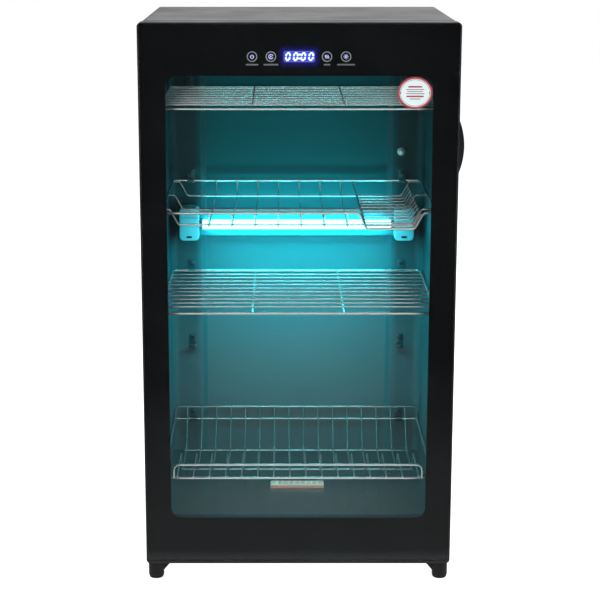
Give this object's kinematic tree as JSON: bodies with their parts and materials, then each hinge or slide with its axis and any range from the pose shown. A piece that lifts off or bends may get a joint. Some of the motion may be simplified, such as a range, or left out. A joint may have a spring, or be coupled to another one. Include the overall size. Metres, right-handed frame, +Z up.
{
  "type": "dish sterilizer cabinet",
  "caption": "Black floor-standing dish sterilizer with a hinged smoky glass door, touch panel, lit ultraviolet tube, chromed wire shelves and baskets, fan heater and feet.",
  "frame": {"origin": "on the floor, below the middle of the closed cabinet with its handle", "axes": "+Z up, the door faces -Y, +X to the right as seen from in front of the door"},
  "size_m": [0.4574, 0.372, 0.823],
  "materials": {
    "case_black": "semi-gloss black powder coat",
    "door_black": "satin black",
    "door_glass": "polished, smoky",
    "print_black": "glossy black back print",
    "rubber_black": "matt black",
    "nylon": "natural",
    "liner_steel": "fine satin",
    "chrome": "bright",
    "zinc": "zinc plated",
    "lamp_glass": "lit tube",
    "lamp_plastic": "pale grey-white",
    "display": "smoked lens",
    "board_green": "solder-mask green",
    "heater_cream": "cream",
    "fin_aluminium": "bare",
    "fan_black": "matt black",
    "magnet_grey": "dull grey"
  },
  "bodies": {
    "cabinet": {"outer_shell": "case_black", "front_frame": "case_black", "rear_cover": "case_black", "cord_inlet": "rubber_black", "base_pan": "zinc", "hinge_plate_lower": "zinc", "foot_plate_right": "zinc", "foot_front_left": "rubber_black", "foot_front_right": "rubber_black", "foot_rear_left": "rubber_black", "foot_rear_right": "rubber_black", "hinge_bracket_upper": "zinc", "liner_wrap": "liner_steel", "liner_ceiling": "liner_steel", "liner_floor": "liner_steel", "hook_shelf_top_left": "chrome", "hook_shelf_top_right": "chrome", "hook_bowl_basket_left": "chrome", "hook_bowl_basket_right": "chrome", "hook_shelf_middle_left": "chrome", "hook_shelf_middle_right": "chrome", "hook_spare_left": "chrome", "hook_spare_right": "chrome", "hook_plate_basket_left": "chrome", "hook_plate_basket_right": "chrome", "temperature_probe": "chrome", "lamp_holder_left": "lamp_plastic", "lamp_holder_right": "lamp_plastic", "uv_tube": "lamp_glass", "lamp_channel": "liner_steel", "heater_housing": "heater_cream", "heater_core": "fin_aluminium", "fan_frame": "fan_black", "power_board": "board_green", "lamp_ballast": "lamp_plastic", "reed_switch": "lamp_plastic"},
    "door": {"door_frame": "door_black", "door_glass": "door_glass", "door_print": "print_black", "door_seal": "rubber_black", "door_handle": "door_black", "hinge_bush_lower": "nylon", "hinge_bush_upper": "nylon", "display_module": "display", "touch_board": "board_green", "door_magnet": "magnet_grey"},
    "shelf_top": {"shelf_top": "chrome"},
    "bowl_basket": {"bowl_basket": "chrome"},
    "shelf_middle": {"shelf_middle": "chrome"},
    "plate_basket": {"plate_basket": "chrome"},
    "fan": {"fan_rotor": "fan_black"}
  },
  "joints": [
    {"name": "door_hinge", "type": "hinge", "parent": "cabinet", "child": "door", "pos_m": [-0.2187, -0.17, 0.42], "axis": [0, 0, -1], "range_deg": [0, 105]},
    {"name": "shelf_top_lift", "type": "slide", "parent": "cabinet", "child": "shelf_top", "axis": [0, 0, 1], "range_m": [0, 0.012]},
    {"name": "bowl_basket_lift", "type": "slide", "parent": "cabinet", "child": "bowl_basket", "axis": [0, 0, 1], "range_m": [0, 0.012]},
    {"name": "shelf_middle_lift", "type": "slide", "parent": "cabinet", "child": "shelf_middle", "axis": [0, 0, 1], "range_m": [0, 0.012]},
    {"name": "plate_basket_lift", "type": "slide", "parent": "cabinet", "child": "plate_basket", "axis": [0, 0, 1], "range_m": [0, 0.012]},
    {"name": "fan_spin", "type": "hinge", "parent": "cabinet", "child": "fan", "pos_m": [-0.0037, -0.012, 0.04], "axis": [0, 0, 1], "continuous": true}
  ]
}
